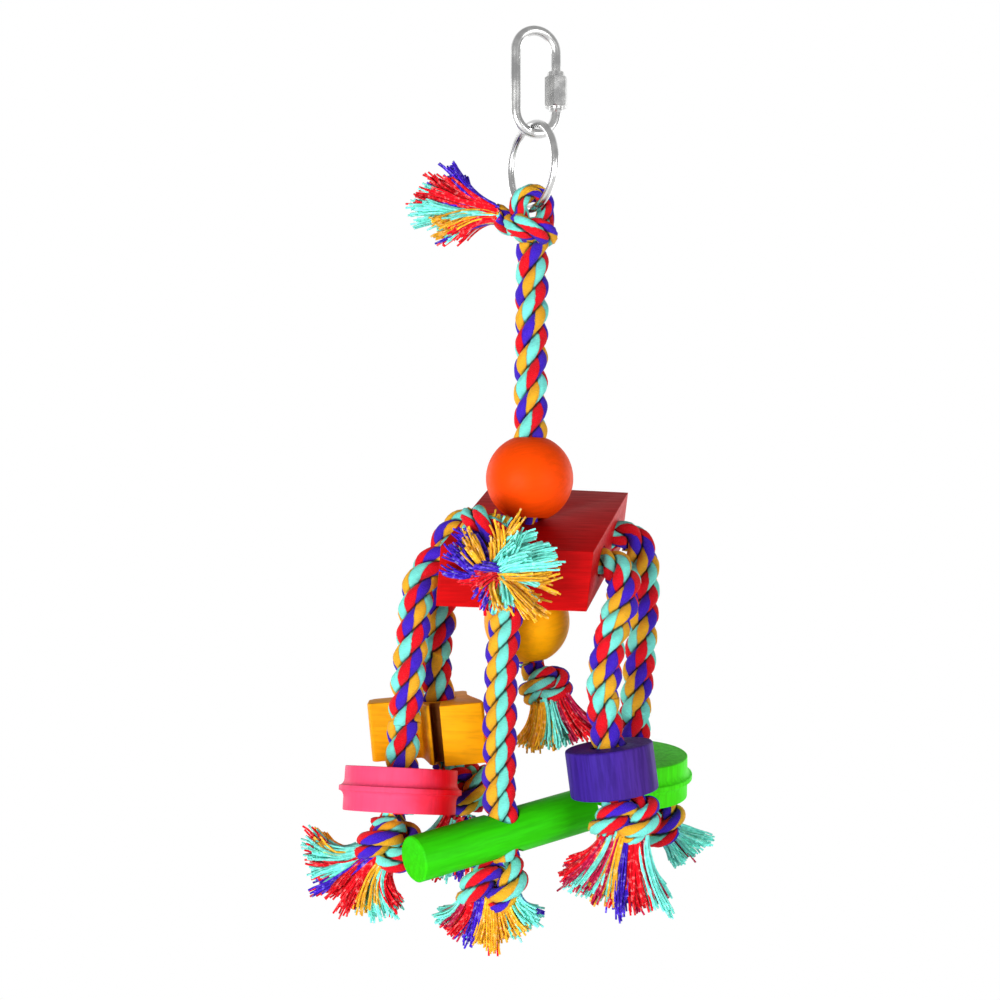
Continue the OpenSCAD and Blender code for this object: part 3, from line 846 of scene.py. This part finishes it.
class TOY_OT_knots(bpy.types.Operator):
    """Tie the knots under the wooden pieces, on the block and round the ring"""

    bl_idname = "toy.knots"
    bl_label = "Knots"

    def execute(self, context):
        cotton = rope_finish()
        for n, (name, (at, tip, entry, k, flat)) in enumerate(KNOTS.items()):
            parts = [laid_strands(overhand_line(at, tip, k, flat), phase=0.7 * n, first_dye=0.9 * n, per_group=4),
                     laid_strands(entry_line(at, tip, k, entry()), phase=0.3 * n, first_dye=1.7 * n, per_group=4)]
            verts, faces, uv, depth = joined(parts)
            piece = mesh_piece(name + "_tied", verts, faces, cotton, uv, {"height": depth})
            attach(piece, "rope")
            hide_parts(name)
        parts = [laid_strands(line, phase=0.5 + n, first_dye=1.3 * n, per_group=4)
                 for n, line in enumerate(ring_knot_lines())]
        verts, faces, uv, depth = joined(parts)
        piece = mesh_piece("ring_knot_tied", verts, faces, cotton, uv, {"height": depth})
        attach(piece, "rope")
        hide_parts("ring_knot")
        return {"FINISHED"}


class TOY_OT_frays(bpy.types.Operator):
    """Open the rope ends into locks of loose yarn"""

    bl_idname = "toy.frays"
    bl_label = "Frayed ends"

    def execute(self, context):
        yarn = fray_finish()
        for n, name in enumerate(FRAYS):
            piece = frayed_piece(name, 11 + n, yarn)
            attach(piece, "rope")
            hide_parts(name)
        return {"FINISHED"}


# the painted shade in the groove of the notched block: its place, its turn, and its bounds in width and in depth
GROOVE_PAINTED_SHADE = (*NOTCHED, (-2.1, 0.7), (-14.3, -7.1))
# every wooden piece: its dye, which way its grain is turned in degrees, its roughness, how strong its
# grain is, and the dye that takes over to its right with the distances where it does
WOODS = {
    "orange_bead": ("orange", (4, 82, 10), 0.5, 0.05, None, None),
    "yellow_bead": ("yellow", (0, 78, 40), 0.5, 0.07, None, None),
    "red_block": ("red", (0, 90, 8), 0.5, 0.12, None, None),
    "notched_block": ("yellow", (0, 90, 4), 0.5, 0.09, None, None),
    "pink_disc": ("pink", (-10, 3, 0), 0.5, 0.05, "scarlet", (-37, -25)),
    "purple_disc": ("purple", (0, -7, 0), 0.56, 0.17, "mauve", (14, 34)),
    "green_disc": ("lime", (7, 0, 0), 0.5, 0.08, None, None),
    "green_dowel": ("green", (0, 83, 35), 0.46, 0.09, None, None),
}


def sanded_copy(node, width):
    """A CAD node's shape with its hard edges rounded, as a mesh of its own."""
    source = frame["nodes"][node]
    work = bmesh.new()
    work.from_mesh(source.data)
    bmesh.ops.remove_doubles(work, verts=work.verts, dist=1e-6)
    bmesh.ops.dissolve_limit(work, angle_limit=math.radians(0.5), verts=work.verts, edges=work.edges)
    mesh = bpy.data.meshes.new(node + "_sanded")
    work.to_mesh(mesh)
    work.free()
    piece = bpy.data.objects.new(node + "_sanded", mesh)
    bpy.context.scene.collection.objects.link(piece)
    bevel = piece.modifiers.new("Sanded edges", "BEVEL")
    bevel.width = width
    bevel.segments = 3
    bevel.limit_method = "ANGLE"
    bevel.angle_limit = math.radians(40)
    bevel.use_clamp_overlap = True
    bevel.harden_normals = False
    made = bpy.data.meshes.new_from_object(piece.evaluated_get(bpy.context.evaluated_depsgraph_get()))
    piece.modifiers.clear()
    piece.data = made
    made.polygons.foreach_set("use_smooth", [True] * len(made.polygons))
    made.set_sharp_from_angle(angle=math.radians(33))
    return piece


class TOY_OT_wood(bpy.types.Operator):
    """Sand and dye the beads, blocks, discs and dowel"""

    bl_idname = "toy.wood"
    bl_label = "Wooden pieces"

    def execute(self, context):
        look = context.scene.toy_wood
        for node, (dye, turn, rough, spread, other, span) in WOODS.items():
            finish = wood_finish(node.replace("_", " ") + " dye", tuple(getattr(look, dye)),
                                 tuple(math.radians(a) for a in turn), spread, rough,
                                 other and tuple(getattr(look, other)), span,
                                 GROOVE_PAINTED_SHADE if node == "notched_block" else None)
            if node in ("orange_bead", "yellow_bead"):
                solid = frame["nodes"][node]
                solid.data.materials.clear()
                solid.data.materials.append(finish)
                continue
            piece = sanded_copy(node, look.edge)
            piece.data.materials.clear()
            piece.data.materials.append(finish)
            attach(piece, frame["nodes"][node]["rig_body"])
            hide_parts(node)
        return {"FINISHED"}


class TOY_OT_metal(bpy.types.Operator):
    """Plate the link, its nut and the ring"""

    bl_idname = "toy.metal"
    bl_label = "Link, nut and ring"

    def execute(self, context):
        nickel = metal_finish()
        for node in ("quick_link", "link_nut", "ring"):
            solid = frame["nodes"][node]
            solid.data.materials.clear()
            solid.data.materials.append(nickel)
        return {"FINISHED"}


class TOY_OT_stage(bpy.types.Operator):
    """Set the camera, the soft lamps, the floor and the backdrop"""

    bl_idname = "toy.stage"
    bl_label = "Studio"

    def execute(self, context):
        look = context.scene.toy_stage
        scene = context.scene
        scene.view_settings.view_transform = "Standard"
        lens = bpy.data.cameras.new("camera")
        lens.lens, lens.sensor_width, lens.sensor_fit = look.lens, 36, "HORIZONTAL"
        lens.clip_start, lens.clip_end = 0.01, 20
        camera = bpy.data.objects.new("camera", lens)
        scene.collection.objects.link(camera)
        camera.location = (-10.286 * MM, -457.14 * MM, -132.71 * MM)
        camera.rotation_euler = (math.pi / 2, 0, 0)
        scene.camera = camera

        def lamp(name, at, aim, size, power, colour=(1, 1, 1)):
            """A soft square lamp that faces a point."""
            light = bpy.data.lights.new(name, "AREA")
            light.shape, light.size, light.size_y = "RECTANGLE", size[0], size[1]
            light.energy, light.color = power, colour
            holder = bpy.data.objects.new(name, light)
            scene.collection.objects.link(holder)
            holder.location = at
            holder.rotation_euler = (Vector(aim) - Vector(at)).to_track_quat("-Z", "Y").to_euler()

        middle = (0, 0, -0.13)
        lamp("key", (-0.46, -0.76, -0.27), middle, (0.45, 0.45), look.key_power)
        lamp("fill", (0.6, -0.6, -0.26), middle, (0.5, 0.6), look.fill_power)
        lamp("rear left", (-0.6, 0.55, -0.1), middle, (0.5, 0.5), look.rear_power)
        lamp("rear right", (0.6, 0.55, -0.1), middle, (0.5, 0.5), look.rear_power)

        world = bpy.data.worlds.new("studio")
        scene.world = world
        world.use_nodes = True
        around = world.node_tree.nodes
        around["Background"].inputs[0].default_value = (1, 1, 1, 1)
        brighter = around.new("ShaderNodeMath")
        brighter.operation = "MAXIMUM"
        brighter.inputs[0].default_value = look.ambient
        mirrored = around.new("ShaderNodeMath")
        mirrored.operation = "MULTIPLY_ADD"
        mirrored.inputs[1].default_value = look.mirrored
        path = around.new("ShaderNodeLightPath")
        world.node_tree.links.new(path.outputs["Is Glossy Ray"], mirrored.inputs[0])
        world.node_tree.links.new(path.outputs["Is Camera Ray"], mirrored.inputs[2])
        world.node_tree.links.new(mirrored.outputs[0], brighter.inputs[1])
        world.node_tree.links.new(brighter.outputs[0], around["Background"].inputs[1])

        f = Finish("white backdrop", Roughness=1.0)
        f.shader.inputs["Specular IOR Level"].default_value = 0
        glow = f.node("ShaderNodeEmission", {}, {"Color": (1, 1, 1, 1), "Strength": 1.0})
        path = f.node("ShaderNodeLightPath", out="Is Camera Ray")
        mirror = Wire(f, path.socket.node.outputs["Is Glossy Ray"])
        through = Wire(f, path.socket.node.outputs["Is Transmission Ray"])
        seen = (path + mirror + through).least(1.0)
        f.feed({"Base Color": (0.92, 0.92, 0.92)})
        # near the toy the floor keeps its shadow, and further out it is plain white
        far = f.node("ShaderNodeVectorMath", {"operation": "LENGTH"}, {0: f.node("ShaderNodeTexCoord", out="Object")},
                     out=1)
        share = seen * far.stepped(0.42, 0.56, 0.79, 1.0)
        both = f.node("ShaderNodeMixShader", {}, {0: share, 1: Wire(f, f.shader.outputs[0]), 2: glow})
        f.tree.links.new(both.socket, f.out.inputs[0])
        sweep = bmesh.new()
        wall_y, floor_z, bend = 0.95, -0.40, 0.3
        profile = [(-2.5, floor_z)]
        profile += [(wall_y - bend + bend * math.sin(a), floor_z + bend - bend * math.cos(a))
                    for a in [math.radians(9 * i) for i in range(11)]]
        profile += [(wall_y, 2.0)]
        rows = [[sweep.verts.new((x, y, z)) for y, z in profile] for x in (-2.5, 2.5)]
        for i in range(len(profile) - 1):
            sweep.faces.new((rows[0][i], rows[1][i], rows[1][i + 1], rows[0][i + 1]))
        mesh = bpy.data.meshes.new("backdrop")
        sweep.to_mesh(mesh)
        sweep.free()
        mesh.materials.append(f.material)
        mesh.polygons.foreach_set("use_smooth", [True] * len(mesh.polygons))
        backdrop = bpy.data.objects.new("backdrop", mesh)
        scene.collection.objects.link(backdrop)
        return {"FINISHED"}


class TOY_PT_panel(bpy.types.Panel):
    """Lists the toy's looks and the pieces that can be made"""

    bl_label = "Rope toy"
    bl_idname = "TOY_PT_panel"
    bl_space_type = "VIEW_3D"
    bl_region_type = "UI"
    bl_category = "Rope toy"

    def draw(self, context):
        for label, group in (("Rope", "toy_rope"), ("Frayed ends", "toy_fray"), ("Wood", "toy_wood"),
                             ("Metal", "toy_metal"), ("Studio", "toy_stage")):
            box = self.layout.box()
            box.label(text=label)
            for name in getattr(context.scene, group).__annotations__:
                box.prop(getattr(context.scene, group), name)
        for operator in OPERATORS:
            self.layout.operator(operator.bl_idname)


GROUPS_OF_LOOKS = {"toy_rope": RopeLook, "toy_fray": FrayLook, "toy_wood": WoodLook, "toy_metal": MetalLook,
                   "toy_stage": StageLook}
OPERATORS = (TOY_OT_stage, TOY_OT_knots, TOY_OT_frays, TOY_OT_ropes, TOY_OT_wood, TOY_OT_metal)


def register():
    for kind in (*GROUPS_OF_LOOKS.values(), *OPERATORS, TOY_PT_panel):
        bpy.utils.register_class(kind)
    for name, group in GROUPS_OF_LOOKS.items():
        setattr(bpy.types.Scene, name, bpy.props.PointerProperty(type=group))


def unregister():
    for name in GROUPS_OF_LOOKS:
        delattr(bpy.types.Scene, name)
    for kind in (TOY_PT_panel, *reversed(OPERATORS), *GROUPS_OF_LOOKS.values()):
        bpy.utils.unregister_class(kind)


def main():
    register()
    bpy.ops.toy.stage()
    bpy.ops.toy.knots()
    bpy.ops.toy.frays()
    bpy.ops.toy.ropes()
    bpy.ops.toy.wood()
    bpy.ops.toy.metal()


if __name__ == "__main__":
    main()
